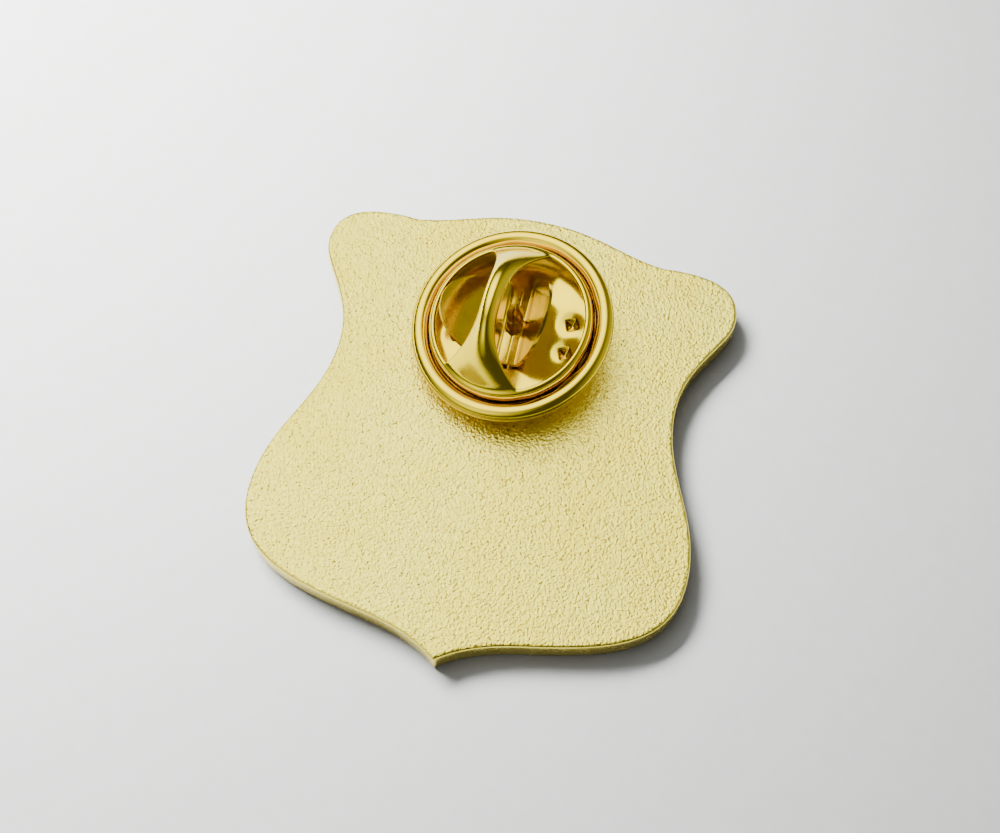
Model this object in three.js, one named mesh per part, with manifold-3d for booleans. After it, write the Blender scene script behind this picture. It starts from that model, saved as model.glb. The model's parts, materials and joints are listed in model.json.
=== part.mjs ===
// Shield lapel pin with wings on its front, and a butterfly clutch on its post.
// Millimetres, +Z up. The pin lies face down: its front rests on z = 0 and its back looks up.
// X runs across the shield and +Y towards its top edge; x = y = 0 is the middle of its box.

import * as THREE from 'three';
import { mergeVertices } from 'three/addons/utils/BufferGeometryUtils.js';
import Module from 'manifold-3d';

const wasm = await Module();
wasm.setup();

// ---------------------------------------------------------------- driving dimensions

// Shield plate
const plateThickness = 1.7;
const shieldHeight = 28.2;
const earHalfWidth = 12.5;
const lobeHalfWidth = 12.7;
const waistHalfWidth = 10.1;
const tipY = -shieldHeight / 2;

// Struck front: a rim, an enamel channel, a thin metal line and the fields
const recessDepth = 0.4;
const enamelBelowMetal = 0.06;
const rimWidth = 0.9;
const borderWidth = 1.0;
const lineWidth = 0.45;
const fessY = -1.6;
const chevronBand = 2.6;
const chevronRise = 3.2;
const wingsY = 4.9;
const roundelRadius = 2.5;
const starRadius = 1.55;
const featherCount = 4;
const featherHeight = 1.05;
const featherRootX = 1.3;
const featherStep = 1.35;
const wingHalfSpan = 8.3;
const wingTopAboveRoundel = 1.5;
const featherLift = 1.3;
const featherLiftStep = 0.2;
const starWaist = 0.42;
const fieldUnderFess = 2.2;

// Post
const postX = 0;
const postY = 5.85;
const postRadius = 0.5;
const postLength = 4.7;
const postPoint = 1.1;
const postHeadRadius = 0.85;
const postHeadHeight = 0.3;
const solderRadius = 1.35;

// Butterfly clutch, which hangs a little askew on the post
const clutchLift = 1.2;
const clutchLeanLeft = THREE.MathUtils.degToRad(9.3);
const clutchLeanDown = THREE.MathUtils.degToRad(6.4);
const sheet = 0.3;
const rollRadius = 0.5;
const rollCentre = 5.45;
const rollHeight = 1.02;
const floorRadius = 4.7;
const cupHoleRadius = 0.8;
const wallSheet = 0.28;
const wallFlare = 0.55;
const wallFlareInside = 0.42;
const rollEnd = 185;
const rollStart = -40;
const dimpleRadius = 0.42;
const dimpleDepth = 0.32;
const dimpleSink = 0.1;
const dimpleRing = 3.3;
const dimpleAngles = [19, -13, 167, 199];
const windowRadius = 4.42;
const ringTop = 1.92;
const bridgeTop = 5.0;
const bridgeOffset = -0.5;
const bridgeReach = 4.75;
const bridgeTrimRadius = 4.8;
const bridgeRootDrop = 0.2;
const bridgeArch = 2.3;
const bridgeWaist = 0.48;
const bridgeFlareTop = 0.75;
const bridgeFlareFoot = 1.4;
const bridgeCrown = 0.22;

// Section of the crimped ring as [radius, height], from its hem up over the top and back inside
const ringSection = [
  [5.06, 0.84],
  [4.9, 0.9],
  [4.86, 1.3],
  [4.79, 1.68],
  [4.68, 1.87],
  [4.55, ringTop],
  [windowRadius, 1.86],
  [windowRadius, 1.66],
  [4.53, 1.62],
  [4.6, 1.4],
  [4.65, 1.0],
  [4.72, 0.7],
  [5.06, 0.66],
];

// Spring leaves
const springSheet = 0.18;
const jawHeight = 0.68;
const foldOffset = 0.68;
const jawGap = 0.06;
const jawNotchRadius = 0.62;
const leafLength = 4.15;
const leafHalfWidth = 2.45;
const leafRound = 3.3;
const foldRadius = 0.22;
const jawTaper = 0.25;
const leanOfLeftLeaf = THREE.MathUtils.degToRad(52);
const leanOfRightLeaf = THREE.MathUtils.degToRad(28);

const roundSegments = 64;

// ---------------------------------------------------------------- materials

const metal = (color, roughness) => new THREE.MeshStandardMaterial({ color, roughness, metalness: 1 });
const enamel = (color) => new THREE.MeshStandardMaterial({ color, roughness: 0.15, metalness: 0 });

const plateGold = () => metal(0xdcd49a, 0.5);
const clutchGold = () => metal(0xd9b640, 0.15);
const springGold = () => metal(0xc99a2e, 0.15);
const solderSilver = () => metal(0xb9b6ab, 0.35);
const navyEnamel = () => enamel(0x14284f);
const skyEnamel = () => enamel(0x5d93c4);
const whiteEnamel = () => enamel(0xf2efe4);
const redEnamel = () => enamel(0x9c1f27);

// ---------------------------------------------------------------- solids

/** Turns a closed three.js geometry into a solid that can be cut and joined. */
function solid(geometry) {
  const bare = geometry.clone();
  bare.deleteAttribute('normal');
  bare.deleteAttribute('uv');
  const merged = mergeVertices(bare, 1e-4);
  const vertProperties = new Float32Array(merged.attributes.position.array);
  const triVerts = new Uint32Array(merged.index.array);
  return new wasm.Manifold(new wasm.Mesh({ numProp: 3, vertProperties, triVerts }));
}

/** Turns a solid back into a three.js geometry. */
function geometryOf(body) {
  const { vertProperties, triVerts } = body.getMesh();
  const geometry = new THREE.BufferGeometry();
  geometry.setAttribute('position', new THREE.BufferAttribute(new Float32Array(vertProperties), 3));
  geometry.setIndex(new THREE.BufferAttribute(new Uint32Array(triVerts), 1));
  geometry.computeVertexNormals();
  return geometry;
}

/** Extrudes a list of plan points from one height to another. */
function slab(points, low, high) {
  const geometry = new THREE.ExtrudeGeometry(new THREE.Shape(points), {
    depth: high - low,
    bevelEnabled: false,
  });
  return solid(geometry.translate(0, 0, low));
}

/** Turns a closed profile of (radius, height) points round the Z axis. */
function turned(profile, segments = roundSegments) {
  const points = profile.map(([radius, height]) => new THREE.Vector2(radius, height));
  const geometry = new THREE.LatheGeometry(points, segments);
  return geometry.rotateX(Math.PI / 2);
}

/** Points along an arc in a profile, from one angle to another in degrees. */
function arc(centreX, centreY, radius, from, to, steps) {
  return Array.from({ length: steps + 1 }, (_, i) => {
    const angle = THREE.MathUtils.degToRad(from + ((to - from) * i) / steps);
    return [centreX + radius * Math.cos(angle), centreY + radius * Math.sin(angle)];
  });
}

/** A closed sheet of constant thickness over a grid of middle points, across by along. */
function sheetSolid(middle, thickness, acrossSteps, alongSteps) {
  const positions = [];
  const normalAt = (i, j) => {
    const a = middle(Math.min(i + 1, acrossSteps), j).sub(middle(Math.max(i - 1, 0), j));
    const b = middle(i, Math.min(j + 1, alongSteps)).sub(middle(i, Math.max(j - 1, 0)));
    return a.cross(b).normalize();
  };
  for (const side of [-0.5, 0.5]) {
    for (let j = 0; j <= alongSteps; j += 1) {
      for (let i = 0; i <= acrossSteps; i += 1) {
        const point = middle(i, j).addScaledVector(normalAt(i, j), side * thickness);
        positions.push(point.x, point.y, point.z);
      }
    }
  }
  const row = acrossSteps + 1;
  const layer = row * (alongSteps + 1);
  const triangles = [];
  const quad = (a, b, c, d) => triangles.push(a, b, c, a, c, d);
  for (let j = 0; j < alongSteps; j += 1) {
    for (let i = 0; i < acrossSteps; i += 1) {
      const a = j * row + i;
      quad(a, a + row, a + row + 1, a + 1);
      quad(layer + a, layer + a + 1, layer + a + row + 1, layer + a + row);
    }
  }
  for (let i = 0; i < acrossSteps; i += 1) {
    const end = alongSteps * row + i;
    quad(i, i + 1, layer + i + 1, layer + i);
    quad(end + 1, end, layer + end, layer + end + 1);
  }
  for (let j = 0; j < alongSteps; j += 1) {
    const first = j * row;
    const last = first + acrossSteps;
    quad(first + row, first, layer + first, layer + first + row);
    quad(last, last + row, layer + last + row, layer + last);
  }
  const geometry = new THREE.BufferGeometry();
  geometry.setAttribute('position', new THREE.Float32BufferAttribute(positions, 3));
  geometry.setIndex(triangles);
  return solid(geometry);
}

// ---------------------------------------------------------------- shield outline

/** The shield's right half, from the middle of its crown down to its point. */
function rightHalf() {
  const crownY = shieldHeight / 2;
  const earY = crownY - 4.1;
  const waistY = tipY + 17.6;
  const lobeY = tipY + 7.7;
  const path = new THREE.Path();
  path.moveTo(0, crownY);
  path.bezierCurveTo(3.5, crownY, 5.0, crownY - 1.2, 7.6, crownY - 1.5);
  path.bezierCurveTo(11.4, crownY - 1.2, earHalfWidth, crownY - 2.3, earHalfWidth, earY);
  path.bezierCurveTo(earHalfWidth, earY - 1.6, waistHalfWidth, waistY + 3.2, waistHalfWidth, waistY);
  path.bezierCurveTo(waistHalfWidth, waistY - 4, lobeHalfWidth, lobeY + 4, lobeHalfWidth, lobeY);
  path.bezierCurveTo(lobeHalfWidth, lobeY - 4.2, 9.0, tipY + 2.7, 5.0, tipY + 1.9);
  path.bezierCurveTo(2.9, tipY + 1.5, 1.5, tipY + 1.1, 0, tipY);
  return path.getPoints(9);
}

/** How far a point lies from a closed outline. */
function distanceTo(outline, point) {
  const nearest = new THREE.Vector3();
  const place = new THREE.Vector3(point.x, point.y, 0);
  return Math.min(...outline.map((start, i) => {
    const end = outline[(i + 1) % outline.length];
    const edge = new THREE.Line3(new THREE.Vector3(start.x, start.y), new THREE.Vector3(end.x, end.y));
    return edge.closestPointToPoint(place, true, nearest).distanceTo(place);
  }));
}

/** The whole outline, drawn inwards by a distance, without the loops this leaves in tight corners. */
function shieldOutline(inset = 0) {
  const right = rightHalf();
  const left = right.slice(1, -1).map((point) => new THREE.Vector2(-point.x, point.y));
  const outline = [...right, ...left.reverse()];
  const count = outline.length;
  const moved = outline.map((point, i) => {
    const along = outline[(i + 1) % count].clone().sub(outline[(i - 1 + count) % count]).normalize();
    return point.clone().add(new THREE.Vector2(along.y, -along.x).multiplyScalar(inset));
  });
  const slack = 0.02;
  const closest = 0.15;
  const clear = moved.filter((point) => distanceTo(outline, point) > inset - slack);
  return clear.filter((point, i) => i === 0 || point.distanceTo(clear[i - 1]) > closest);
}

// ---------------------------------------------------------------- front design

/** One feather, a blade that sweeps out and up from the roundel; side is -1 or 1. */
function featherOutline(index, side, grow = 0) {
  const pitch = featherHeight + lineWidth;
  const rootX = featherRootX - grow;
  const tipX = wingHalfSpan - featherStep * index + grow;
  const low = wingsY + wingTopAboveRoundel - pitch * (index + 0.5) - grow;
  const high = low + featherHeight + 2 * grow;
  const lift = featherLift - featherLiftStep * index;
  const path = new THREE.Path();
  path.moveTo(rootX, low);
  path.quadraticCurveTo((rootX + tipX) / 2, low - 0.1, tipX - 0.9, low + lift);
  path.quadraticCurveTo(tipX, low + lift + 0.3, tipX, high + lift);
  path.quadraticCurveTo((rootX + tipX) / 2, high + 0.15, rootX, high);
  const points = path.getPoints(6);
  return side > 0 ? points : points.map((p) => new THREE.Vector2(-p.x, p.y)).reverse();
}

/** A five-pointed star round the middle of the wings. */
function starOutline() {
  return Array.from({ length: 10 }, (_, i) => {
    const radius = i % 2 ? starRadius * starWaist : starRadius;
    const angle = Math.PI / 2 + (i * Math.PI) / 5;
    return new THREE.Vector2(radius * Math.cos(angle), wingsY + radius * Math.sin(angle));
  });
}

/** A disc as plan points. */
function disc(centreX, centreY, radius, steps = 40) {
  return Array.from({ length: steps }, (_, i) => {
    const angle = (i * 2 * Math.PI) / steps;
    return new THREE.Vector2(centreX + radius * Math.cos(angle), centreY + radius * Math.sin(angle));
  });
}

/** A band across the shield, bent up in its middle by a rise. */
function bentBand(low, high, rise) {
  const reach = lobeHalfWidth + 1;
  const points = [
    [-reach, low - rise],
    [0, low],
    [reach, low - rise],
    [reach, high - rise],
    [0, high],
    [-reach, high - rise],
  ];
  return points.map(([x, y]) => new THREE.Vector2(x, y));
}

const cellLow = -1;
const cellOf = (points) => slab(points, cellLow, recessDepth);
const featherIndices = Array.from({ length: featherCount }, (_, i) => i);
const fieldInset = rimWidth + borderWidth + lineWidth;

/** The recesses of the struck front, one solid for each enamel fill. */
function frontCells() {
  const cells = {};
  const border = cellOf(shieldOutline(rimWidth));
  cells.border_enamel = [border.subtract(cellOf(shieldOutline(rimWidth + borderWidth))), navyEnamel];

  const field = cellOf(shieldOutline(fieldInset));
  const roundel = cellOf(disc(0, wingsY, roundelRadius));
  const roundelMetal = cellOf(disc(0, wingsY, roundelRadius + lineWidth));
  let wingsMetal = roundelMetal;
  for (const side of [-1, 1]) {
    for (const index of featherIndices) {
      wingsMetal = wingsMetal.add(cellOf(featherOutline(index, side, lineWidth)));
    }
  }
  const halfLine = lineWidth / 2;
  const above = cellOf(bentBand(fessY + halfLine, shieldHeight, 0));
  const chevronTop = fessY - fieldUnderFess;
  const lowerBand = cellOf(bentBand(chevronTop + halfLine, fessY - halfLine + chevronRise, chevronRise));
  const underFess = cellOf(bentBand(-shieldHeight, fessY - halfLine, 0));
  const chevron = cellOf(bentBand(chevronTop - chevronBand, chevronTop - halfLine, chevronRise));
  const base = cellOf(bentBand(-shieldHeight, chevronTop - chevronBand - lineWidth, chevronRise));

  cells.upper_field_enamel = [field.intersect(above).subtract(wingsMetal), skyEnamel];
  cells.lower_field_enamel = [field.intersect(lowerBand).intersect(underFess), navyEnamel];
  cells.chevron_enamel = [field.intersect(chevron), whiteEnamel];
  cells.base_field_enamel = [field.intersect(base), navyEnamel];
  cells.roundel_enamel = [roundel.subtract(cellOf(starOutline())), redEnamel];
  for (const side of [-1, 1]) {
    const word = side < 0 ? 'left' : 'right';
    for (const index of featherIndices) {
      const feather = cellOf(featherOutline(index, side)).subtract(roundelMetal);
      cells[`feather_enamel_${word}_${index + 1}`] = [feather, whiteEnamel];
    }
  }
  return cells;
}

// ---------------------------------------------------------------- post

/** The pin post: a flat head on the plate, a round shank and a point. */
function postGeometry() {
  const neck = postLength - postPoint;
  return turned([
    [0, 0],
    [postHeadRadius, 0],
    [postHeadRadius, postHeadHeight],
    [postRadius, postHeadHeight],
    [postRadius, neck],
    [postRadius * 0.62, neck + postPoint * 0.45],
    [postRadius * 0.2, postLength - 0.1],
    [0, postLength],
  ], 32);
}

/** The solder that wells up round the post's head. */
function solderGeometry() {
  const steps = 5;
  const spread = solderRadius - postHeadRadius;
  const hollow = Array.from({ length: steps + 1 }, (_, i) => {
    const t = i / steps;
    return [postHeadRadius + spread * (1 - t), postHeadHeight * t * t];
  });
  return turned([[postHeadRadius, 0], ...hollow, [postHeadRadius, 0]], 32);
}

// ---------------------------------------------------------------- clutch

/** The base disc with its rolled rim, post hole and four punched dimples. */
function cupGeometry() {
  const profile = [
    [cupHoleRadius, 0],
    [floorRadius, 0],
    [floorRadius + wallFlare, wallSheet],
    ...arc(rollCentre, rollHeight, rollRadius, rollStart, rollEnd, 14),
    ...arc(rollCentre, rollHeight, rollRadius - wallSheet, rollEnd, rollStart, 8),
    [floorRadius + wallFlareInside, 0.5],
    [floorRadius - 0.1, sheet],
    [cupHoleRadius, sheet],
  ];
  profile.push(profile[0]);
  let cup = solid(turned(profile));
  const coneHeight = dimpleDepth + dimpleSink;
  const bumpMiddle = dimpleSink - coneHeight / 2;
  const pitMiddle = bumpMiddle + sheet - 0.8 * dimpleSink;
  for (const angle of dimpleAngles) {
    const place = THREE.MathUtils.degToRad(angle);
    const x = dimpleRing * Math.cos(place);
    const y = dimpleRing * Math.sin(place);
    const bump = new THREE.ConeGeometry(dimpleRadius, coneHeight, 12).rotateX(-Math.PI / 2);
    const pit = new THREE.ConeGeometry(dimpleRadius, coneHeight, 4).rotateX(-Math.PI / 2);
    cup = cup.add(solid(bump.translate(x, y, bumpMiddle)));
    cup = cup.subtract(solid(pit.translate(x, y, pitMiddle)));
  }
  return geometryOf(cup);
}

/** Height of the bridge's middle line at a distance along it. */
function bridgeHeight(y) {
  const low = ringTop - bridgeRootDrop;
  return low + (bridgeTop - sheet / 2 - low) * (1 - Math.abs(y / bridgeReach) ** bridgeArch);
}

/** Half the bridge's width, which flares towards both roots and more at the foot. */
function bridgeHalfWidth(y) {
  const flare = y > 0 ? bridgeFlareTop : bridgeFlareFoot;
  return bridgeWaist + flare * Math.abs(y / bridgeReach) ** 3;
}

/** The crimped ring with the arched bridge across its opening. */
function capGeometry() {
  const ring = solid(turned([...ringSection, ringSection[0]]));
  const acrossSteps = 8;
  const alongSteps = 36;
  const bridge = sheetSolid((i, j) => {
    const y = bridgeReach * ((2 * j) / alongSteps - 1);
    const across = (2 * i) / acrossSteps - 1;
    const z = bridgeHeight(y) - bridgeCrown * across * across;
    return new THREE.Vector3(bridgeOffset + bridgeHalfWidth(y) * across, y, z);
  }, sheet, acrossSteps, alongSteps);
  const trimHeight = 2 * bridgeTop + 4;
  const round = new THREE.CylinderGeometry(bridgeTrimRadius, bridgeTrimRadius, trimHeight, roundSegments);
  const trim = solid(round.rotateX(Math.PI / 2));
  return geometryOf(ring.add(bridge.intersect(trim)));
}

/** One spring leaf with its jaw; side is -1 or 1 and x = z = 0 is its fold. */
function leafGeometry(side, lean) {
  const jaw = foldOffset - jawGap / 2;
  const path = new THREE.Path();
  path.moveTo(-jaw, 0);
  path.lineTo(-foldRadius, 0);
  path.quadraticCurveTo(0, 0, foldRadius * Math.sin(lean), foldRadius * Math.cos(lean));
  path.lineTo(leafLength * Math.sin(lean), leafLength * Math.cos(lean));
  const jawSteps = 3;
  const bendSteps = 4;
  const leafSteps = 14;
  const section = [];
  for (const [curve, steps] of path.curves.map((c, i) => [c, [jawSteps, bendSteps, leafSteps][i]])) {
    for (let i = section.length ? 1 : 0; i <= steps; i += 1) {
      section.push(curve.getPoint(i / steps));
    }
  }
  const alongSteps = section.length - 1;
  const acrossSteps = 8;
  const halfWidth = (point, j) => {
    if (j < jawSteps) {
      return leafHalfWidth - jawTaper * (1 - j / jawSteps) ** 2;
    }
    const left = leafLength - Math.hypot(point.x, point.y);
    const t = Math.max(0, 1 - left / leafRound);
    return leafHalfWidth * Math.sqrt(1 - 0.97 * t * t);
  };
  const leaf = sheetSolid((i, j) => {
    const point = section[j];
    const across = (2 * i) / acrossSteps - 1;
    return new THREE.Vector3(side * point.x, -side * across * halfWidth(point, j), point.y);
  }, springSheet, acrossSteps, alongSteps);
  const notch = new THREE.CylinderGeometry(jawNotchRadius, jawNotchRadius, 1.6, 24).rotateX(Math.PI / 2);
  return geometryOf(leaf.subtract(solid(notch.translate(-side * foldOffset, 0, 0))));
}

// ---------------------------------------------------------------- assembly

const group = new THREE.Group();

function part(name, geometry, material, parent = group) {
  const mesh = new THREE.Mesh(geometry, material);
  mesh.name = name;
  parent.add(mesh);
  return mesh;
}

const cells = frontCells();
const enamelLayer = slab(disc(0, 0, shieldHeight), enamelBelowMetal, recessDepth);
let plate = slab(shieldOutline(), 0, plateThickness);
for (const [cell] of Object.values(cells)) {
  plate = plate.subtract(cell);
}
part('badge_plate', geometryOf(plate), plateGold());
for (const [name, [cell, colour]] of Object.entries(cells)) {
  part(name, geometryOf(cell.intersect(enamelLayer)), colour());
}

part('post', postGeometry(), plateGold()).position.set(postX, postY, plateThickness);
part('solder_fillet', solderGeometry(), solderSilver()).position.set(postX, postY, plateThickness);

const clutch = new THREE.Group();
clutch.position.set(postX, postY, plateThickness + clutchLift);
clutch.rotation.set(clutchLeanDown, -clutchLeanLeft, 0);
group.add(clutch);
part('clutch_cup', cupGeometry(), clutchGold(), clutch);
part('clutch_cap', capGeometry(), clutchGold(), clutch);

// The post crosses the leaning clutch, so the jaws meet round it a little off the clutch's middle.
const jawX = jawHeight * Math.tan(clutchLeanLeft);
const jawY = jawHeight * Math.tan(clutchLeanDown);
const leaves = [['wing_lever_left', -1, leanOfLeftLeaf], ['wing_lever_right', 1, leanOfRightLeaf]];
for (const [name, side, lean] of leaves) {
  const leaf = part(name, leafGeometry(side, lean), springGold(), clutch);
  leaf.position.set(jawX + side * foldOffset, jawY, jawHeight);
}

export default group;
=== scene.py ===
import json
import math

import bmesh
import bpy
from mathutils import Matrix, Vector, noise


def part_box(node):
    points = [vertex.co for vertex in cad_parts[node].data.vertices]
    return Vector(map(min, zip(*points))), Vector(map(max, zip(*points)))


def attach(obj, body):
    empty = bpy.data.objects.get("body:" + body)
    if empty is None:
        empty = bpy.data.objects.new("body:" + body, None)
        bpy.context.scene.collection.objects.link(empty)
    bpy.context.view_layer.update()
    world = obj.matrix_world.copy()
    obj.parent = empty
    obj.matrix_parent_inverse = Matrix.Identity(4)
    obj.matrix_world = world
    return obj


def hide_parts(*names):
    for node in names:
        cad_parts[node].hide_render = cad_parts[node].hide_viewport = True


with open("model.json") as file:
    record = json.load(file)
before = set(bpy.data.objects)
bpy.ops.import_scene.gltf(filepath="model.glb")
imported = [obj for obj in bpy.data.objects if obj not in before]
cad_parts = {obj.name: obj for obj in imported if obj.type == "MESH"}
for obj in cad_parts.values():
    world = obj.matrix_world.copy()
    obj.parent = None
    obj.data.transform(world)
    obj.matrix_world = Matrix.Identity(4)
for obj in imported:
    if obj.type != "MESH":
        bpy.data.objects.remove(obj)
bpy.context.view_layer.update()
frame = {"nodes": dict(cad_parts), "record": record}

# Shapes are worked out in millimetres and stored in metres.
MM = 0.001


def add_object(name, data):
    """A new object in the scene."""
    made = bpy.data.objects.new(name, data)
    bpy.context.scene.collection.objects.link(made)
    return made


# ---------------------------------------------------------------- sizes taken from the frame


def box_mm(node):
    """Lowest and highest corner of a CAD node, in millimetres."""
    low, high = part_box(node)
    return Vector(low) / MM, Vector(high) / MM


plate_low, plate_high = box_mm("badge_plate")
post_low, post_high = box_mm("post")
PLATE_THICKNESS = plate_high.z
TOP_Y, TIP_Y = plate_high.y, plate_low.y
LOBE_X = plate_high.x
POST_X, POST_Y = (post_low.x + post_high.x) / 2, (post_low.y + post_high.y) / 2
POST_LENGTH = post_high.z - post_low.z

# ---------------------------------------------------------------- sizes shared with the CAD

EAR_X, WAIST_X = 12.5, 10.1
RECESS = 0.4
RIM, BORDER, LINE = 0.9, 1.0, 0.45
FESS_Y, CHEVRON_TOP_Y, CHEVRON_BAND, CHEVRON_RISE = -1.6, -3.8, 2.6, 3.2
WINGS_Y, ROUNDEL_RADIUS, STAR_RADIUS, STAR_WAIST = 4.9, 2.5, 1.55, 0.42
FEATHERS, FEATHER_HEIGHT, FEATHER_ROOT, FEATHER_STEP, WING_SPAN = 4, 1.05, 1.3, 1.35, 8.3

# The clutch: its floor's height over the plate and its lean, then its base, cap and spring.
LIFT = 1.2
LEAN_LEFT, LEAN_DOWN = math.radians(9.3), math.radians(6.4)
SHEET = 0.3
ROLL_RADIUS, ROLL_CENTRE, ROLL_HEIGHT = 0.5, 5.45, 1.02
FLOOR_RADIUS, HOLE_RADIUS = 4.7, 0.8
# The CAD's ring is 3.3 and its angles 19, -13, 167 and 199: these follow the photo more closely.
DIMPLE_RING, DIMPLE_ANGLES = 3.4, (14, -17, 163, 194)
WINDOW_RADIUS, RING_TOP, BRIDGE_TOP = 4.46, 1.9, 4.98
SPRING_SHEET, JAW_HEIGHT, FOLD_OFFSET, JAW_GAP = 0.18, 0.68, 0.68, 0.06
NOTCH_RADIUS, LEAF_LENGTH, LEAF_HALF_WIDTH, LEAF_ROUND, FOLD_RADIUS = 0.62, 4.15, 2.45, 3.3, 0.22
LEAF_LEANS = {"left": math.radians(52), "right": math.radians(28)}

CLUTCH = (
    Matrix.Translation((POST_X, POST_Y, PLATE_THICKNESS + LIFT))
    @ Matrix.Rotation(LEAN_DOWN, 4, "X")
    @ Matrix.Rotation(-LEAN_LEFT, 4, "Y")
)

# ---------------------------------------------------------------- camera

AZIMUTH = math.radians(13.11)
ELEVATION = math.radians(66.06)
CAMERA_DISTANCE = 101.16 * MM
AIM = Vector((0.275, 0.854, 1.7)) * MM
LENS = 63.0


def make_camera():
    """Looks down at the pin's back from a little to its right, with a level horizon."""
    back = Vector((
        math.sin(AZIMUTH) * math.cos(ELEVATION),
        -math.cos(AZIMUTH) * math.cos(ELEVATION),
        math.sin(ELEVATION),
    ))
    data = bpy.data.cameras.new("camera")
    data.lens = LENS
    data.clip_start = 0.005
    camera = add_object("camera", data)
    camera.location = AIM + back * CAMERA_DISTANCE
    camera.rotation_euler = (-back).to_track_quat("-Z", "Y").to_euler()
    bpy.context.scene.camera = camera


make_camera()

# ---------------------------------------------------------------- materials


class Finish:
    """A node material with one Principled shader, and short calls for the nodes in front of it."""

    def __init__(self, name, colour, roughness, metallic=0.0, coat=0.0):
        self.material = bpy.data.materials.new(name)
        self.material.use_nodes = True
        self.tree = self.material.node_tree
        self.shader = self.tree.nodes["Principled BSDF"]
        self.shader.inputs["Base Color"].default_value = (*colour, 1)
        self.shader.inputs["Roughness"].default_value = roughness
        self.shader.inputs["Metallic"].default_value = metallic
        self.shader.inputs["Coat Weight"].default_value = coat
        self.place = self.node("ShaderNodeTexCoord").outputs["Object"]
        self.height = None

    def node(self, kind, **values):
        """A new node with the given properties."""
        node = self.tree.nodes.new(kind)
        for key, value in values.items():
            setattr(node, key, value)
        return node

    def join(self, source, target):
        """Links two sockets."""
        self.tree.links.new(source, target)

    def noise(self, size_mm, detail=2.0, roughness=0.5):
        """Soft noise with features of a size in millimetres."""
        texture = self.node("ShaderNodeTexNoise")
        texture.inputs["Scale"].default_value = 1 / (size_mm * MM)
        texture.inputs["Detail"].default_value = detail
        texture.inputs["Roughness"].default_value = roughness
        self.join(self.place, texture.inputs["Vector"])
        return texture.outputs["Fac"]

    def cells(self, size_mm, feature="F1"):
        """Distance to the nearest of scattered points, a size in millimetres apart."""
        texture = self.node("ShaderNodeTexVoronoi", feature=feature)
        texture.inputs["Scale"].default_value = 1 / (size_mm * MM)
        self.join(self.place, texture.inputs["Vector"])
        return texture.outputs["Distance"]

    def ramp(self, source, stops):
        """Maps a value through stops of (position, colour)."""
        node = self.node("ShaderNodeValToRGB")
        elements = node.color_ramp.elements
        while len(elements) < len(stops):
            elements.new(0.5)
        for element, (position, colour) in zip(elements, stops):
            element.position = position
            element.color = (*colour, 1)
        self.join(source, node.inputs["Fac"])
        return node.outputs["Color"]

    def clouds(self, size_mm, first, second, start=0.3, end=0.7, detail=3):
        """Two colours that pass into each other in soft patches of a size in millimetres."""
        return self.ramp(self.noise(size_mm, detail), [(start, first), (end, second)])

    def dots(self, spacing_mm, inner, outer):
        """White spots on black; inner and outer are where a spot starts to fade and ends."""
        return self.ramp(self.cells(spacing_mm), [(inner, (1, 1, 1)), (outer, (0, 0, 0))])

    def mix(self, factor, a, b):
        """Blends from colour a, a socket, to colour b, a value, by a factor socket."""
        node = self.node("ShaderNodeMix", data_type="RGBA")
        factor_in, a_in, b_in = node.inputs[0], node.inputs[6], node.inputs[7]
        self.join(factor, factor_in)
        self.join(a, a_in)
        b_in.default_value = (*b, 1)
        return node.outputs[2]

    def bump(self, source, depth_mm, strength=1.0):
        """Adds a bump over the ones already there."""
        node = self.node("ShaderNodeBump")
        node.inputs["Strength"].default_value = strength
        node.inputs["Distance"].default_value = depth_mm * MM
        self.join(source, node.inputs["Height"])
        if self.height is not None:
            self.join(self.height, node.inputs["Normal"])
        self.height = node.outputs["Normal"]
        self.join(self.height, self.shader.inputs["Normal"])

    def colour(self, source):
        """Takes the base colour from a socket."""
        self.join(source, self.shader.inputs["Base Color"])

    def gloss(self, source, low, high):
        """Roughness that runs from low to high as the source runs from 0 to 1."""
        node = self.node("ShaderNodeMapRange")
        node.inputs["To Min"].default_value = low
        node.inputs["To Max"].default_value = high
        self.join(source, node.inputs["Value"])
        self.join(node.outputs["Result"], self.shader.inputs["Roughness"])


def sandblasted_gold():
    """Pale gold plate over a grained, sandblasted back, with dark pinholes."""
    finish = Finish("pale_gold_grained", (0.86, 0.73, 0.08), 0.32, metallic=1.0)
    patches = finish.clouds(4.5, (0.87, 0.76, 0.095), (0.86, 0.72, 0.06), start=0.35)
    pinholes = finish.dots(0.4, inner=0.1, outer=0.2)
    finish.colour(finish.mix(pinholes, patches, (0.36, 0.25, 0.02)))
    finish.gloss(finish.noise(0.5, detail=3), low=0.2, high=0.3)
    finish.bump(finish.noise(0.15), depth_mm=0.068)
    finish.bump(finish.cells(0.22, "SMOOTH_F1"), depth_mm=0.02, strength=0.5)
    return finish.material


def polished_plate_gold():
    """The same plate where it is smooth: side wall, rim and raised lines."""
    finish = Finish("pale_gold_polished", (0.84, 0.69, 0.08), 0.24, metallic=1.0)
    finish.colour(finish.clouds(2.2, (0.80, 0.64, 0.06), (0.88, 0.74, 0.10)))
    finish.gloss(finish.noise(0.6, detail=4), low=0.16, high=0.34)
    finish.bump(finish.noise(0.7, detail=3), depth_mm=0.012, strength=0.5)
    return finish.material


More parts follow.
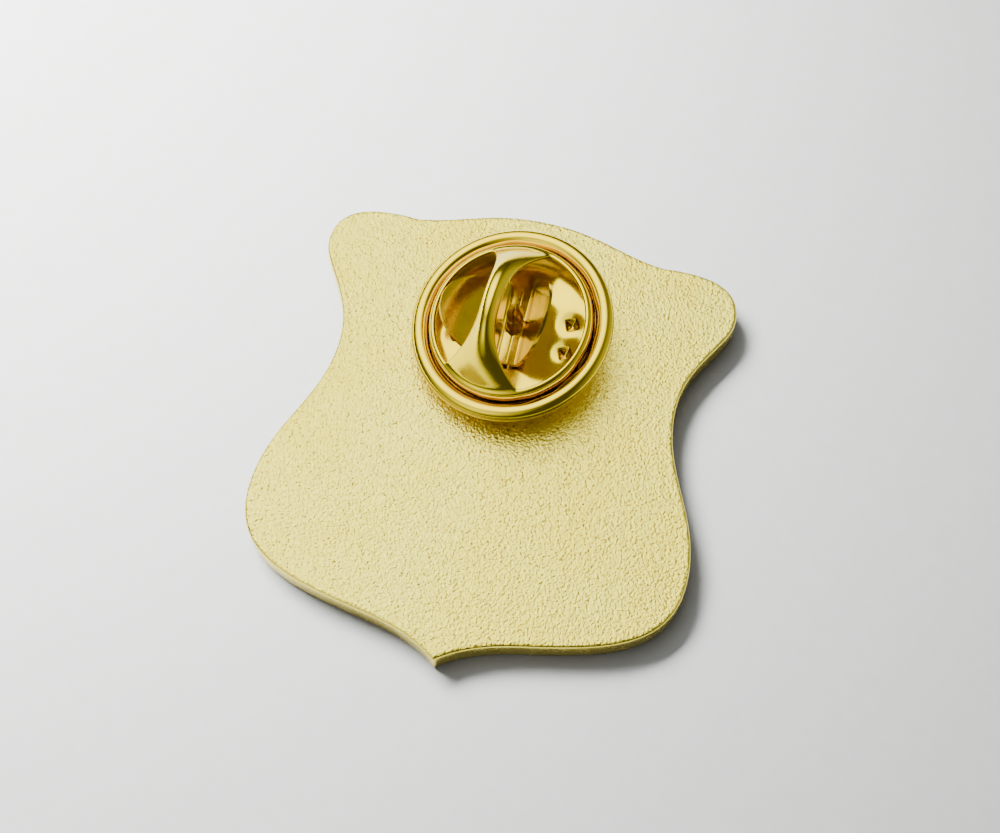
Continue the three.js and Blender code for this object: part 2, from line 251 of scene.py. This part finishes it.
def polished_clutch_gold():
    """Bright yellow plate on drawn sheet, with faint waves and finer handling marks."""
    finish = Finish("yellow_gold_polished", (0.74, 0.545, 0.003), 0.09, metallic=1.0)
    finish.colour(finish.clouds(1.6, (0.71, 0.515, 0.002), (0.77, 0.59, 0.005)))
    finish.gloss(finish.noise(0.35, detail=5, roughness=0.7), low=0.09, high=0.2)
    finish.bump(finish.noise(1.3, detail=1), depth_mm=0.02, strength=0.6)
    finish.bump(finish.noise(0.12, detail=3), depth_mm=0.0012, strength=0.5)
    return finish.material


def spring_gold():
    """Thinner, redder plate on the spring and the post, a little uneven."""
    finish = Finish("spring_gold", (0.65, 0.45, 0.004), 0.11, metallic=1.0)
    finish.colour(finish.clouds(1.0, (0.60, 0.41, 0.003), (0.70, 0.50, 0.006)))
    finish.gloss(finish.noise(0.25, detail=4), low=0.12, high=0.24)
    finish.bump(finish.noise(0.9), depth_mm=0.014, strength=0.5)
    return finish.material


def dull_solder():
    """Grey solder with a gold wash."""
    finish = Finish("solder_washed", (0.66, 0.6, 0.44), 0.38, metallic=1.0)
    finish.colour(finish.clouds(0.5, (0.6, 0.55, 0.42), (0.74, 0.66, 0.4)))
    finish.bump(finish.noise(0.4, detail=3), depth_mm=0.03, strength=0.7)
    return finish.material


def glossy_enamel(name, colour):
    """Fired enamel: a deep colour with faint clouding and tiny bubbles under a glossy coat."""
    finish = Finish(name, colour, 0.16, coat=0.7)
    finish.shader.inputs["Coat Roughness"].default_value = 0.04
    deeper = tuple(0.72 * value for value in colour)
    cloud = finish.clouds(1.8, deeper, colour, end=0.72, detail=4)
    bubbles = finish.dots(0.55, inner=0.03, outer=0.08)
    finish.colour(finish.mix(bubbles, cloud, tuple(0.5 * value for value in colour)))
    finish.bump(finish.noise(1.1), depth_mm=0.02, strength=0.5)
    return finish.material


def studio_paper():
    """Matt paper with a faint tooth, painted paler further away: painted light where less lamp
    light reaches it.
    """
    near_mm, far_mm, painted_light_colour = 70, 240, (0.6, 0.61, 0.6)
    finish = Finish("pale_paper", (0.17, 0.173, 0.167), 0.9)
    near = finish.clouds(0.9, (0.166, 0.169, 0.163), (0.174, 0.178, 0.172), detail=4)
    distance = finish.node("ShaderNodeVectorMath", operation="LENGTH")
    finish.join(finish.place, distance.inputs[0])
    painted_light_fade = finish.node("ShaderNodeMapRange")
    painted_light_fade.inputs["From Min"].default_value = near_mm * MM
    painted_light_fade.inputs["From Max"].default_value = far_mm * MM
    finish.join(distance.outputs["Value"], painted_light_fade.inputs["Value"])
    # Painted light: the paper's colour pales with distance from the pin, standing in for lamp
    # light.
    finish.colour(finish.mix(painted_light_fade.outputs["Result"], near, painted_light_colour))
    finish.bump(finish.noise(0.35, detail=3), depth_mm=0.01, strength=0.4)
    return finish.material


GRAINED = sandblasted_gold()
PLATE_POLISH = polished_plate_gold()
CLUTCH_POLISH = polished_clutch_gold()
SPRING = spring_gold()
SOLDER = dull_solder()
ENAMELS = {
    "navy_enamel": glossy_enamel("enamel_navy", (0.012, 0.03, 0.10)),
    "sky_enamel": glossy_enamel("enamel_sky", (0.10, 0.29, 0.56)),
    "white_enamel": glossy_enamel("enamel_white", (0.82, 0.80, 0.73)),
    "red_enamel": glossy_enamel("enamel_red", (0.34, 0.015, 0.022)),
}

# ---------------------------------------------------------------- mesh helpers


def piece(name, points, faces, materials, body, place=Matrix.Identity(4), choose=None):
    """Makes a smooth mesh piece from millimetre points and lets it ride on a body."""
    mesh = bpy.data.meshes.new(name)
    mesh.from_pydata([(place @ Vector(p)) * MM for p in points], [], faces)
    for material in materials:
        mesh.materials.append(material)
    work = bmesh.new()
    work.from_mesh(mesh)
    bmesh.ops.recalc_face_normals(work, faces=work.faces)
    work.to_mesh(mesh)
    work.free()
    mesh.shade_smooth()
    if choose:
        for polygon in mesh.polygons:
            polygon.material_index = choose(polygon)
    made = add_object(name, mesh)
    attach(made, body)
    return made


def loft(rows, closed_rows=True, closed_loop=False):
    """Points and quads of a surface through rows of equal length."""
    count = len(rows[0])
    points = [point for row in rows for point in row]
    faces = []
    row_pairs = len(rows) if closed_loop else len(rows) - 1
    for r in range(row_pairs):
        after = (r + 1) % len(rows)
        for i in range(count if closed_rows else count - 1):
            j = (i + 1) % count
            faces.append((r * count + i, r * count + j, after * count + j, after * count + i))
    return points, faces


def cap_row(points, faces, count, row):
    """Closes a row with a fan round its middle."""
    start = row * count
    ring = points[start:start + count]
    middle = len(points)
    points.append(tuple(sum(p[k] for p in ring) / count for k in range(3)))
    faces.extend((start + i, start + (i + 1) % count, middle) for i in range(count))


def arc(centre, height, radius, start, end, steps):
    """Profile points along an arc, its angles in degrees."""
    angles = [math.radians(start + (end - start) * i / steps) for i in range(steps + 1)]
    return [(centre + radius * math.cos(a), height + radius * math.sin(a)) for a in angles]


def revolve(profile, segments, shape=None, closed=True):
    """Turns a profile of (radius, height) round Z; shape may move each point."""
    rows = []
    for radius, height in profile:
        row = []
        for i in range(segments):
            angle = 2 * math.pi * i / segments
            point = (radius * math.cos(angle), radius * math.sin(angle), height)
            row.append(shape(point, radius, angle) if shape else point)
        rows.append(row)
    return loft(rows, closed_loop=closed)


# ---------------------------------------------------------------- shield outline


def bezier(a, b, c, d, steps):
    """Points along a cubic curve, without its last point."""
    out = []
    for i in range(steps):
        t = i / steps
        s = 1 - t
        out.append(a * s**3 + b * 3 * s * s * t + c * 3 * s * t * t + d * t**3)
    return out


def shield_outline(steps=30):
    """The plate's outline, clockwise from the middle of its crown, as the CAD draws it."""
    ear_y, waist_y, lobe_y = TOP_Y - 4.1, TIP_Y + 17.6, TIP_Y + 7.7
    stops = [
        ((0, TOP_Y), (3.5, TOP_Y), (5.0, TOP_Y - 1.2), (7.6, TOP_Y - 1.5)),
        ((7.6, TOP_Y - 1.5), (11.4, TOP_Y - 1.2), (EAR_X, TOP_Y - 2.3), (EAR_X, ear_y)),
        ((EAR_X, ear_y), (EAR_X, ear_y - 1.6), (WAIST_X, waist_y + 3.2), (WAIST_X, waist_y)),
        ((WAIST_X, waist_y), (WAIST_X, waist_y - 4), (LOBE_X, lobe_y + 4), (LOBE_X, lobe_y)),
        ((LOBE_X, lobe_y), (LOBE_X, lobe_y - 4.2), (9.0, TIP_Y + 2.7), (5.0, TIP_Y + 1.9)),
        ((5.0, TIP_Y + 1.9), (2.9, TIP_Y + 1.5), (1.5, TIP_Y + 1.1), (0, TIP_Y)),
    ]
    right = [p for stop in stops for p in bezier(*(Vector(q) for q in stop), steps)]
    right.append(Vector((0, TIP_Y)))
    left = [Vector((-p.x, p.y)) for p in right[1:-1]]
    return right + left[::-1]


def evenly(points, count):
    """The same closed path with evenly spaced points."""
    loop = points + points[:1]
    lengths = [0.0]
    for a, b in zip(loop, loop[1:]):
        lengths.append(lengths[-1] + (b - a).length)
    total, out, k = lengths[-1], [], 0
    for i in range(count):
        target = total * i / count
        while k < len(loop) - 2 and lengths[k + 1] < target:
            k += 1
        span = lengths[k + 1] - lengths[k]
        out.append(loop[k].lerp(loop[k + 1], min(1.0, (target - lengths[k]) / span)))
    return out


def inset(outline, distance):
    """An outline moved inwards, without the loops that form in its tight corners."""
    # Below the safe distance no loop forms; the slack allows for the spacing of the points.
    safe, slack = 0.15, 0.01
    count = len(outline)
    out = []
    for i, point in enumerate(outline):
        along = (outline[(i + 1) % count] - outline[i - 1]).normalized()
        moved = point + Vector((along.y, -along.x)) * distance
        if distance < safe or min((moved - p).length for p in outline) > distance - slack:
            out.append(moved)
    return evenly(out, count) if len(out) < count else out


def relax(outline, rounds):
    """Evens out an outline a little, to round the tight corners an inset leaves."""
    for _ in range(rounds):
        outline = [
            outline[i] * 0.5 + (outline[i - 1] + outline[(i + 1) % len(outline)]) * 0.25
            for i in range(len(outline))
        ]
    return outline


OUTLINE_POINTS = 480
OUTLINE = evenly(shield_outline(), OUTLINE_POINTS)


def contains(outline, x, y):
    """Whether a point lies inside an outline."""
    inside = False
    for a, b in zip(outline, outline[1:] + outline[:1]):
        if (a.y > y) != (b.y > y) and x < (b.x - a.x) * (y - a.y) / (b.y - a.y) + a.x:
            inside = not inside
    return inside


# ---------------------------------------------------------------- shield plate


def grain(x, y):
    """Height of the sandblasted grain, in millimetres."""
    coarse = noise.noise(Vector((x * 1.9, y * 1.9, 3.0)))
    fine = noise.noise(Vector((x * 5.2, y * 5.2, 8.0)))
    return 0.004 * coarse + 0.010 * fine


def make_plate():
    """The struck plate: grained back, softly broken edges, side wall, rim and sunk front."""
    # The section of the edge, as (distance inwards, height), from the front round to the back.
    edge = [
        (RIM, RECESS), (RIM, 0.12), (RIM - 0.03, 0.04), (RIM - 0.1, 0.0), (0.2, 0.0), (0.1, 0.02),
        (0.04, 0.07), (0.015, 0.14), (0.0, 0.3), (0.0, 0.85), (0.0, PLATE_THICKNESS - 0.24),
        (0.012, PLATE_THICKNESS - 0.13), (0.045, PLATE_THICKNESS - 0.055),
        (0.1, PLATE_THICKNESS - 0.015), (0.19, PLATE_THICKNESS),
    ]
    rows = []
    for distance, z in edge:
        rounds = 3 if distance > 0.5 else 0
        rows.append([(p.x, p.y, z) for p in relax(inset(OUTLINE, distance), rounds)])
    field = inset(OUTLINE, edge[-1][0])
    middle = Vector((0.0, 0.0))
    rings, fade_width, sunk = 120, 0.5, 0.012
    for ring in range(1, rings):
        share = 1 - ring / rings
        row = []
        for p in field:
            q = middle.lerp(p, share)
            fade = min(1.0, (1 - share) * p.length / fade_width)
            row.append((q.x, q.y, PLATE_THICKNESS + fade * grain(q.x, q.y) - sunk * fade))
        rows.append(row)
    points, faces = loft(rows)
    count = len(OUTLINE)
    cap_row(points, faces, count, 0)
    cap_row(points, faces, count, len(rows) - 1)
    back_z = (PLATE_THICKNESS - 0.03) * MM

    def back_is_grained(polygon):
        return 0 if polygon.center.z > back_z and abs(polygon.normal.z) > 0.9 else 1

    plate = piece(
        "shield_plate", points, faces, [GRAINED, PLATE_POLISH], "badge",
        choose=back_is_grained,
    )
    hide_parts("badge_plate")


# ---------------------------------------------------------------- raised lines of the front


def ridge(path, closed):
    """A raised metal line with a crowned top along a path, seen from the front at low z."""
    half = LINE / 2
    section = [(-half - 0.04, RECESS), (-half, 0.2), (-half + 0.05, 0.07), (-0.08, 0.012)]
    section += [(-across, z) for across, z in reversed(section)]
    rows = []
    count = len(path)
    for i, point in enumerate(path):
        before = path[i - 1] if closed or i else path[i]
        after = path[(i + 1) % count] if closed or i < count - 1 else path[i]
        along = (after - before).normalized()
        across = Vector((along.y, -along.x))
        rows.append([(*(point + across * a), z) for a, z in section])
    return loft(rows, closed_rows=False, closed_loop=closed)


def curve(points, steps):
    """Points along joined quadratic curves given as start, control, end, control, end."""
    out = []
    for i in range(0, len(points) - 2, 2):
        a, b, c = (Vector(p) for p in points[i:i + 3])
        for k in range(steps):
            t = k / steps
            out.append(a * (1 - t) ** 2 + b * 2 * t * (1 - t) + c * t * t)
    out.append(Vector(points[-1]))
    return out


def feather_line(index, side):
    """The open line round one feather, from the roundel out and back."""
    grow = LINE / 2
    root = FEATHER_ROOT - grow
    tip = WING_SPAN - FEATHER_STEP * index + grow
    low = WINGS_Y + 1.5 - (FEATHER_HEIGHT + LINE) * (index + 0.5) - grow
    high = low + FEATHER_HEIGHT + 2 * grow
    lift = 1.3 - 0.2 * index
    line = curve([
        (root, low), ((root + tip) / 2, low - 0.1), (tip - 0.9, low + lift),
        (tip, low + lift + 0.3), (tip, high + lift),
        ((root + tip) / 2, high + 0.15), (root, high),
    ], 14)
    centre = Vector((0, WINGS_Y))
    clear = [p for p in line if (p - centre).length > ROUNDEL_RADIUS]
    return [Vector((side * p.x, p.y)) for p in clear]


def across_shield(height_at, field):
    """A line across the shield inside a field, its height given for each x."""
    steps = 160
    xs = [LOBE_X * (2 * i / steps - 1) for i in range(steps + 1)]
    return [Vector((x, height_at(x))) for x in xs if contains(field, x, height_at(x))]


def make_front_lines():
    """Border ring, fess, chevrons, roundel ring and feathers, as one struck relief."""
    field = relax(inset(OUTLINE, RIM + BORDER + LINE / 2), 6)
    slope = CHEVRON_RISE / (LOBE_X + 1)
    lines = [(evenly(field, 360), True)]
    lines.append((across_shield(lambda x: FESS_Y, field), False))
    for top in (CHEVRON_TOP_Y, CHEVRON_TOP_Y - CHEVRON_BAND - LINE / 2):
        lines.append((across_shield(lambda x, top=top: top - slope * abs(x), field), False))
    radius, ring_steps = ROUNDEL_RADIUS + LINE / 2, 96
    around = [2 * math.pi * i / ring_steps for i in range(ring_steps)]
    ring = [Vector((radius * math.cos(a), WINGS_Y + radius * math.sin(a))) for a in around]
    lines.append((ring, True))
    for side in (-1, 1):
        lines += [(feather_line(index, side), False) for index in range(FEATHERS)]
    points, faces = [], []
    for path, closed in lines:
        more, quads = ridge(path, closed)
        faces += [tuple(len(points) + i for i in quad) for quad in quads]
        points += more
    piece("front_lines", points, faces, [PLATE_POLISH], "badge")


def make_star():
    """A five-pointed star with ridged arms, raised in the roundel."""
    points = [(0, WINGS_Y, 0.02)]
    for i in range(10):
        radius = STAR_RADIUS * (STAR_WAIST if i % 2 else 1)
        angle = math.pi / 2 + i * math.pi / 5
        points.append((radius * math.cos(angle), WINGS_Y + radius * math.sin(angle), 0.2))
    points += [(x, y, RECESS) for x, y, _ in points[1:]]
    faces = []
    for i in range(10):
        a, b = 1 + i, 1 + (i + 1) % 10
        faces += [(0, a, b), (a, a + 10, b + 10, b)]
    star = piece("front_star", points, faces, [PLATE_POLISH], "badge")
    star.data.shade_flat()
    soften(star, 0.03, 2)


def soften(made, width_mm, segments):
    """Rounds a piece's sharp edges."""
    bevel = made.modifiers.new("soft_edges", "BEVEL")
    bevel.width = width_mm * MM
    bevel.segments = segments
    bevel.limit_method = "ANGLE"
    bevel.angle_limit = math.radians(20)


def thicken(made, sheet_mm, offset):
    """Gives a sheet its thickness: inwards at offset -1, to both sides at 0."""
    sheet = made.modifiers.new("sheet", "SOLIDIFY")
    sheet.thickness = sheet_mm * MM
    sheet.offset = offset


# ---------------------------------------------------------------- post and solder

POST_FOOT = Matrix.Translation((POST_X, POST_Y, PLATE_THICKNESS))


def make_post():
    """The turned post: flat head, shank, one bite groove and a ground point."""
    neck = POST_LENGTH - 1.1
    profile = [
        (0.02, 0), (0.85, 0), (0.85, 0.22), (0.8, 0.29), (0.62, 0.31), (0.5, 0.42),
        (0.5, neck - 1.0), (0.44, neck - 0.93), (0.44, neck - 0.72), (0.5, neck - 0.65),
        (0.5, neck - 0.3),
        (0.47, neck - 0.1), (0.4, neck + 0.2), (0.29, neck + 0.52), (0.17, neck + 0.8),
        (0.08, POST_LENGTH - 0.1), (0.02, POST_LENGTH),
    ]
    segments = 48
    points, faces = revolve(profile, segments, closed=False)
    cap_row(points, faces, segments, 0)
    cap_row(points, faces, segments, len(profile) - 1)
    post = piece("pin_post", points, faces, [SPRING], "badge", POST_FOOT)
    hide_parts("post")


def make_solder():
    """The wetted bead of solder round the post's head, a little uneven."""
    def uneven(point, radius, angle):
        if radius < 1.0:
            return point
        swell = 1 + 0.07 * noise.noise(Vector((math.cos(angle) * 2, math.sin(angle) * 2, 1)))
        return (point[0] * swell, point[1] * swell, point[2])

    profile = [
        (0.86, 0), (1.35, 0), (1.28, 0.03), (1.12, 0.09), (0.98, 0.18), (0.9, 0.27), (0.86, 0.3),
    ]
    points, faces = revolve(profile, 72, uneven)
    bead = piece("solder_bead", points, faces, [SOLDER], "badge", POST_FOOT)
    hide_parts("solder_fillet")


# ---------------------------------------------------------------- clutch base


def dimple_depth(x, y):
    """How far the punch has pushed the floor down: a soft bowl with a four-sided pit in it."""
    bowl_depth, bowl_spread, pit_depth, pit_half = 0.19, 0.5, 0.27, 0.36
    turned = math.radians(20)
    depth = 0.0
    for angle in DIMPLE_ANGLES:
        place = math.radians(angle)
        dx, dy = x - DIMPLE_RING * math.cos(place), y - DIMPLE_RING * math.sin(place)
        bowl = bowl_depth * math.exp(-(dx * dx + dy * dy) / bowl_spread)
        a = dx * math.cos(turned) + dy * math.sin(turned)
        b = dy * math.cos(turned) - dx * math.sin(turned)
        pit = pit_depth * max(0.0, 1 - max(abs(a), abs(b)) / pit_half)
        depth += bowl + pit
    return depth


def make_clutch_base():
    """The pressed cup: punched floor, flared wall and the rim rolled in over the cap's hem."""
    # The floor's rows stand close together where the dimples are.
    floor = [HOLE_RADIUS + 0.08, 1.1, 1.5, 1.9, 2.2]
    floor += [2.3 + 0.065 * i for i in range(31)]
    floor += [4.42, 4.55]
    roll_end, roll_start, wall = 188, -42, 0.28
    floor_edge, lip_radius, lip_height, lower_right = 4.6, 5.12, 0.8, math.radians(-40)
    profile = [(r, 0.0) for r in floor]
    profile += [(FLOOR_RADIUS, 0.01), (4.95, 0.07), (5.25, 0.28)]
    profile += arc(ROLL_CENTRE, ROLL_HEIGHT, ROLL_RADIUS, roll_start, roll_end, 26)
    profile += arc(ROLL_CENTRE, ROLL_HEIGHT, ROLL_RADIUS - wall, roll_end, roll_start, 14)
    profile += [(5.12, 0.5), (4.85, 0.36), (4.68, 0.31)]
    profile += [(r, SHEET) for r in reversed(floor)]
    profile += [(HOLE_RADIUS + 0.02, SHEET - 0.05), (HOLE_RADIUS, SHEET / 2)]
    profile += [(HOLE_RADIUS + 0.02, 0.05)]

    def pressed(point, radius, angle):
        x, y, z = point
        if radius < floor_edge:
            return (x, y, z - dimple_depth(x, y))
        around = Vector((math.cos(angle) * 1.1, math.sin(angle) * 1.1, 0.0))
        wave = 0.03 * noise.noise(around)
        if radius < lip_radius and z > lip_height:
            near = max(0.0, math.cos(angle - lower_right))
            ripple = noise.noise(Vector((angle * 3.1, 4.0, 0.0)))
            wave += (0.03 + 0.12 * near) * ripple
        share = 1 + wave / radius
        return (x * share, y * share, z)

    points, faces = revolve(profile, 288, pressed)
    base = piece("clutch_base", points, faces, [CLUTCH_POLISH], "clutch", CLUTCH)
    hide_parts("clutch_cup")


# ---------------------------------------------------------------- clutch cap


BRIDGE_X, BRIDGE_SKEW, BRIDGE_WAIST = -0.5, 0.3, 0.43
FOOT_FLARE, HEAD_FLARE, FLARE_POWER = 1.75, 1.25, 3.2
ARCH_POWER, CROWN_POWER, CROWN_LEFT, CROWN_RIGHT = 2.3, 2.4, 0.2, 0.36


def bridge_middle(share):
    """X of the bridge's middle line; share runs from its foot to its head."""
    return BRIDGE_X + BRIDGE_SKEW * (2 * share - 1)


def bridge_half(share):
    """Half the bridge's width: waisted, and flared into the ring at both roots."""
    t = 2 * share - 1
    flare = HEAD_FLARE if t > 0 else FOOT_FLARE
    return BRIDGE_WAIST + flare * abs(t) ** FLARE_POWER


def make_clutch_cap():
    """The drawn cap: a crimped ring and an arched, crowned bridge between two D windows."""
    columns, rows_along, arc_steps, sheet = 12, 44, 44, 0.2
    # The crimped ring's section, as (radius, height), from its hem up to the windows' edge.
    ring_profile = [
        (5.04, 0.74), (4.95, 0.8), (4.88, 1.0), (4.84, 1.3), (4.79, 1.6), (4.71, 1.79),
        (4.6, 1.88), (WINDOW_RADIUS, RING_TOP),
    ]

    def root_angle(u, share):
        x = bridge_middle(share) + u * bridge_half(share)
        angle = math.acos(x / WINDOW_RADIUS)
        return angle if share > 0.5 else -angle

    across = [2 * i / columns - 1 for i in range(columns + 1)]
    foot = [root_angle(u, 0.0) for u in across]
    head = [root_angle(u, 1.0) for u in across]
    # Round the ring: right window, the bridge's head, left window, the bridge's foot.
    angles = [foot[-1] + (head[-1] - foot[-1]) * i / arc_steps for i in range(arc_steps)]
    head_start = len(angles)
    angles += head[:0:-1]
    left_start = len(angles)
    left_end = 2 * math.pi + foot[0]
    angles += [head[0] + (left_end - head[0]) * i / arc_steps for i in range(arc_steps)]
    foot_start = len(angles)
    angles += [2 * math.pi + a for a in foot[:-1]]
    count = len(angles)

    points, faces = loft([
        [(r * math.cos(a), r * math.sin(a), z) for a in angles] for r, z in ring_profile
    ])
    inner = (len(ring_profile) - 1) * count

    # The bridge's rows start and end on the ring's own points.
    rise = BRIDGE_TOP - RING_TOP
    grid = [[inner + (foot_start + i) % count for i in range(columns + 1)]]
    for m in range(1, rows_along):
        share = m / rows_along
        row = []
        for i, u in enumerate(across):
            low_y = WINDOW_RADIUS * math.sin(foot[i])
            high_y = WINDOW_RADIUS * math.sin(head[i])
            y = low_y + (high_y - low_y) * share
            t = abs(2 * share - 1)
            edge = abs(u) ** CROWN_POWER
            crown = (CROWN_RIGHT if u > 0 else CROWN_LEFT) * edge * (1 - t**4)
            z = RING_TOP + rise * (1 - t**ARCH_POWER) - crown
            row.append(len(points))
            points.append((bridge_middle(share) + u * bridge_half(share), y, z))
        grid.append(row)
    grid.append([inner + (head_start + columns - i) % count for i in range(columns + 1)])
    for a, b in zip(grid, grid[1:]):
        faces += [(a[i], a[i + 1], b[i + 1], b[i]) for i in range(columns)]

    right_loop = [inner + i for i in range(head_start + 1)]
    right_loop += [row[-1] for row in reversed(grid[1:-1])]
    left_loop = [inner + i % count for i in range(left_start, foot_start + 1)]
    left_loop += [row[0] for row in grid[1:-1]]
    for loop in (right_loop, left_loop):
        turn_edge_down(points, faces, loop)

    cap = piece(
        "clutch_crimped_cap", points, faces, [CLUTCH_POLISH], "clutch", CLUTCH
    )
    thicken(cap, sheet, offset=-1)
    smooth = cap.modifiers.new("smooth", "SUBSURF")
    smooth.levels = 1
    smooth.render_levels = 1
    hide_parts("clutch_cap")


def turn_edge_down(points, faces, loop):
    """Turns the sheet down round a window's edge."""
    count = len(loop)
    before = loop
    base = [Vector(points[i]) for i in loop]
    for inward, down in ((0.05, 0.05), (0.08, 0.15), (0.09, 0.26)):
        row = []
        for i in range(count):
            along = base[(i + 2) % count] - base[i - 2]
            normal = Vector((-along.y, along.x, 0)).normalized()
            moved = base[i] + normal * inward
            row.append(len(points))
            points.append((moved.x, moved.y, moved.z - down))
        for i in range(count):
            j = (i + 1) % count
            faces.append((before[i], before[j], row[j], row[i]))
        before = row


# ---------------------------------------------------------------- spring leaves


def make_spring(word, side):
    """One leaf of the spring: jaw with its bite round the post, fold, and rounded wing."""
    lean = LEAF_LEANS[word]
    jaw = FOLD_OFFSET - JAW_GAP / 2
    direction = Vector((math.sin(lean), math.cos(lean)))
    jaw_rows, fold_rows, straight, columns = 7, 10, 34, 28
    section = [
        Vector((-jaw + (jaw - FOLD_RADIUS) * i / jaw_rows, 0)) for i in range(jaw_rows)
    ]
    section += curve([(-FOLD_RADIUS, 0), (0, 0), tuple(direction * FOLD_RADIUS)], fold_rows)
    for i in range(1, straight + 1):
        share = math.sin(math.pi / 2 * i / straight)
        section.append(direction * (FOLD_RADIUS + (LEAF_LENGTH - FOLD_RADIUS) * share))
    rows = []
    for j, point in enumerate(section):
        reach = point.length if j > jaw_rows else 0
        t = max(0.0, 1 - (LEAF_LENGTH - reach) / LEAF_ROUND)
        half = LEAF_HALF_WIDTH * math.sqrt(1 - 0.985 * t * t)
        row = []
        for i in range(columns + 1):
            y = half * (2 * i / columns - 1)
            x = point.x
            if j < jaw_rows and abs(y) < NOTCH_RADIUS:
                edge = -FOLD_OFFSET + math.sqrt(NOTCH_RADIUS**2 - y * y)
                x = max(x, edge + (-FOLD_RADIUS - edge) * j / jaw_rows)
            row.append((side * x, y, point.y))
        rows.append(row)
    points, faces = loft(rows, closed_rows=False)
    place = CLUTCH @ Matrix.Translation((
        JAW_HEIGHT * math.tan(LEAN_LEFT) + side * FOLD_OFFSET,
        JAW_HEIGHT * math.tan(LEAN_DOWN),
        JAW_HEIGHT,
    ))
    leaf = piece(f"spring_{word}", points, faces, [SPRING], f"{word}_wing", place)
    thicken(leaf, SPRING_SHEET, offset=0)
    soften(leaf, 0.045, 3)
    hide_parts(f"wing_lever_{word}")


# ---------------------------------------------------------------- enamel fills


def finish_enamels():
    """Gives each enamel fill of the front its own glossy colour."""
    slots = {part["node"]: part["material_slot"] for part in frame["record"]["subparts"]}
    for name, node in frame["nodes"].items():
        if slots[name] in ENAMELS:
            node.data.materials.clear()
            node.data.materials.append(ENAMELS[slots[name]])


# ---------------------------------------------------------------- studio

# The studio's sizes and places are in metres.
# Each glow has a direction, and its light as (cosine of the angle from it, value).
GLOWS = {
    "ceiling": ((-0.36, 0.36, 0.86), (
        (-1, 0.02), (0.0, 0.02), (0.5, 0.02), (0.74, 0.04), (0.87, 0.5), (0.945, 0.93), (1, 1.0),
    )),
    "front_left": ((-0.50, -0.60, 0.62), ((-1, 0.0), (0.8, 0.0), (0.92, 0.12), (1, 0.42))),
    "right": ((0.95, 0.25, 0.18), ((-1, 0.0), (0.5, 0.0), (0.8, 0.04), (0.93, 0.1), (1, 0.12))),
}
WORLD_STRENGTH = 4.5
FLOOR_HALF_SIDE = 1.5


def make_light(name, place, aim, size, power, spread):
    """A soft box with a grid, whose light fades away from its aim."""
    data = bpy.data.lights.new(name, "AREA")
    data.shape = "RECTANGLE"
    data.size, data.size_y = size
    data.energy = power
    data.spread = math.radians(spread)
    light = add_object(name, data)
    light.visible_glossy = False
    light.location = place
    light.rotation_euler = (Vector(aim) - Vector(place)).to_track_quat("-Z", "Y").to_euler()


def make_world():
    """A dim room: a broad ceiling light up behind the pin, and weak ones front left and right."""
    world = bpy.data.worlds.new("studio")
    bpy.context.scene.world = world
    world.use_nodes = True
    tree = world.node_tree
    place = tree.nodes.new("ShaderNodeTexCoord").outputs["Generated"]

    def glow(direction, stops):
        """Light that depends on the angle from a direction."""
        towards = tree.nodes.new("ShaderNodeVectorMath")
        towards.operation = "DOT_PRODUCT"
        towards.inputs[1].default_value = Vector(direction).normalized()
        tree.links.new(place, towards.inputs[0])
        share = tree.nodes.new("ShaderNodeMapRange")
        share.inputs["From Min"].default_value = -1
        tree.links.new(towards.outputs["Value"], share.inputs["Value"])
        ramp = tree.nodes.new("ShaderNodeValToRGB")
        ramp.color_ramp.interpolation = "EASE"
        elements = ramp.color_ramp.elements
        while len(elements) < len(stops):
            elements.new(0.5)
        for element, (cosine, value) in zip(elements, stops):
            element.position = (cosine + 1) / 2
            element.color = (value, value, value, 1)
        tree.links.new(share.outputs["Result"], ramp.inputs["Fac"])
        return ramp.outputs["Color"]

    total, *extras = (glow(direction, stops) for direction, stops in GLOWS.values())
    for extra in extras:
        add = tree.nodes.new("ShaderNodeMath")
        add.operation = "ADD"
        tree.links.new(total, add.inputs[0])
        tree.links.new(extra, add.inputs[1])
        total = add.outputs["Value"]
    background = tree.nodes["Background"]
    tree.links.new(total, background.inputs["Color"])
    background.inputs["Strength"].default_value = WORLD_STRENGTH


def make_floor():
    """The pale sheet the pin lies on."""
    mesh = bpy.data.meshes.new("floor")
    side = FLOOR_HALF_SIDE
    corners = [(-side, -side, 0), (side, -side, 0), (side, side, 0), (-side, side, 0)]
    mesh.from_pydata(corners, [], [(0, 1, 2, 3)])
    mesh.materials.append(studio_paper())
    floor = add_object("floor", mesh)


make_plate()
make_front_lines()
make_star()
make_post()
make_solder()
make_clutch_base()
make_clutch_cap()
make_spring("left", -1)
make_spring("right", 1)
finish_enamels()
make_floor()
make_world()
make_light(
    "key", place=(-0.12, 0.08, 0.11), aim=(-0.065, 0.037, 0),
    size=(0.11, 0.11), power=1.8, spread=60,
)
